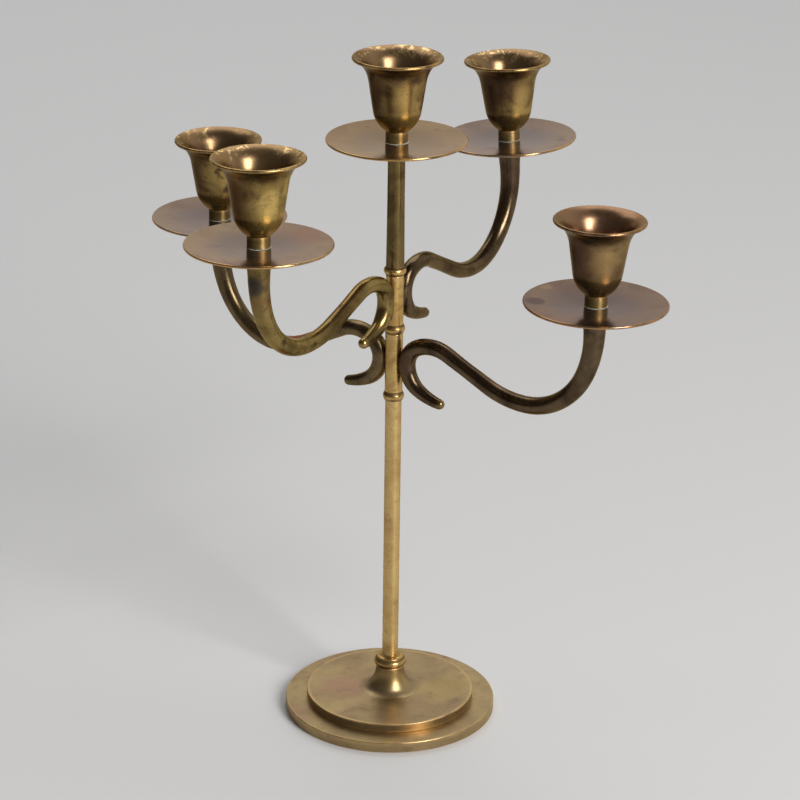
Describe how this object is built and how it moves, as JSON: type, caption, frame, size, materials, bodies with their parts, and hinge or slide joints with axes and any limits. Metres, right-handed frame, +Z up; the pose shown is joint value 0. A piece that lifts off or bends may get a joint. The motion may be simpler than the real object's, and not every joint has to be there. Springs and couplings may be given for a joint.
{
  "type": "tabletop candelabra",
  "caption": "Tall brass table candelabra: stepped round base, slim ringed stem and tiers of curved swivelling arms, each ending in a drip pan and a flared candle cup.",
  "frame": {"origin": "centre of the base's underside", "axes": "+Z up along the stem; at rest the lower pair of arms lies along X and the upper pair 3.5 degrees off Y"},
  "size_m": [0.2742, 0.2738, 0.3214],
  "materials": {
    "base_brass": "satin, worn warm brown-gold with bright edges",
    "bright_brass": "handled to a soft shine, with fine dark pits",
    "ring_brass": "polished high points, dark in the grooves",
    "arm_brass": "dark olive-brown patina worn to gold along the top",
    "stem_brass": "olive-brown patina, satin",
    "pan_brass": "satin brown to mauve patina with a thin bright edge",
    "cup_brass": "mottled brown and olive patina with a bright lip",
    "collar_brass": "satin brass, pale deposit at the lower joint",
    "fastener_steel": "plain zinc-plated steel"
  },
  "bodies": {
    "stand": {"base_plate": "base_brass", "base_step": "base_brass", "base_washer": "fastener_steel", "base_nut": "fastener_steel", "tie_rod": "fastener_steel", "foot_ring": "ring_brass", "lower_stem": "bright_brass", "lower_ring": "ring_brass", "middle_ring": "ring_brass", "upper_ring": "ring_brass", "upper_stem": "stem_brass", "centre_pan": "pan_brass", "centre_collar": "collar_brass", "centre_cup": "cup_brass", "top_nut": "fastener_steel"},
    "lower_arms": {"lower_hub": "bright_brass", "right_arm": "arm_brass", "right_pan": "pan_brass", "right_collar": "collar_brass", "right_cup": "cup_brass", "right_screw": "fastener_steel", "left_arm": "arm_brass", "left_pan": "pan_brass", "left_collar": "collar_brass", "left_cup": "cup_brass", "left_screw": "fastener_steel"},
    "upper_arms": {"upper_hub": "bright_brass", "back_arm": "arm_brass", "back_pan": "pan_brass", "back_collar": "collar_brass", "back_cup": "cup_brass", "back_screw": "fastener_steel", "front_arm": "arm_brass", "front_pan": "pan_brass", "front_collar": "collar_brass", "front_cup": "cup_brass", "front_screw": "fastener_steel"}
  },
  "joints": [
    {"name": "lower_arms_swivel", "type": "hinge", "parent": "stand", "child": "lower_arms", "pos_m": [0, 0, 0.1772], "axis": [0, 0, 1], "continuous": true},
    {"name": "upper_arms_swivel", "type": "hinge", "parent": "lower_arms", "child": "upper_arms", "pos_m": [0, 0, 0.2087], "axis": [0, 0, 1], "range_deg": [-63, 56]}
  ]
}
